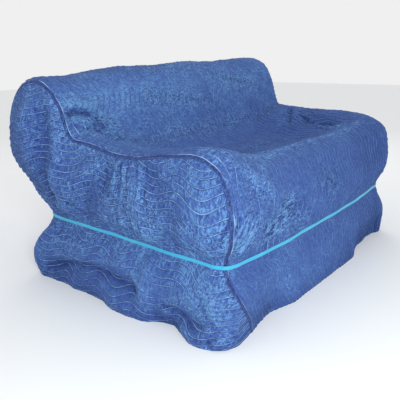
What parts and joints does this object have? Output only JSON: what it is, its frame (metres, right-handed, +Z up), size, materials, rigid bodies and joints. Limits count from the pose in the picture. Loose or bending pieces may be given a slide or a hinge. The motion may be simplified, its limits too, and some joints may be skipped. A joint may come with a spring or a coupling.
{
  "type": "quilted moving-blanket loveseat cover",
  "caption": "Fitted open-bottomed cover of quilted blue moving-blanket cloth for a two-seat sofa, with taped seams and a band cinched round its middle.",
  "frame": {"origin": "the point under the top of the backrest, midway across, where the furniture inside holds the cover up", "axes": "+X to the right seen from the cover's front, +Y from the front towards the back of the backrest, +Z up; the hem lies at the bottom"},
  "size_m": [1.8779, 1.2973, 1.0028],
  "materials": {
    "quilted_cloth": "matt woven cotton and polyester, quilted in wavy lines over a thin padding",
    "binding_tape": "flat woven tape, folded over the seam and stitched along both edges",
    "band_webbing": "smooth light-blue woven webbing with a slight sheen"
  },
  "bodies": {
    "root": {"long_panel": "quilted_cloth", "left_panel": "quilted_cloth", "right_panel": "quilted_cloth", "left_binding": "binding_tape", "right_binding": "binding_tape", "band": "band_webbing"}
  },
  "joints": []
}
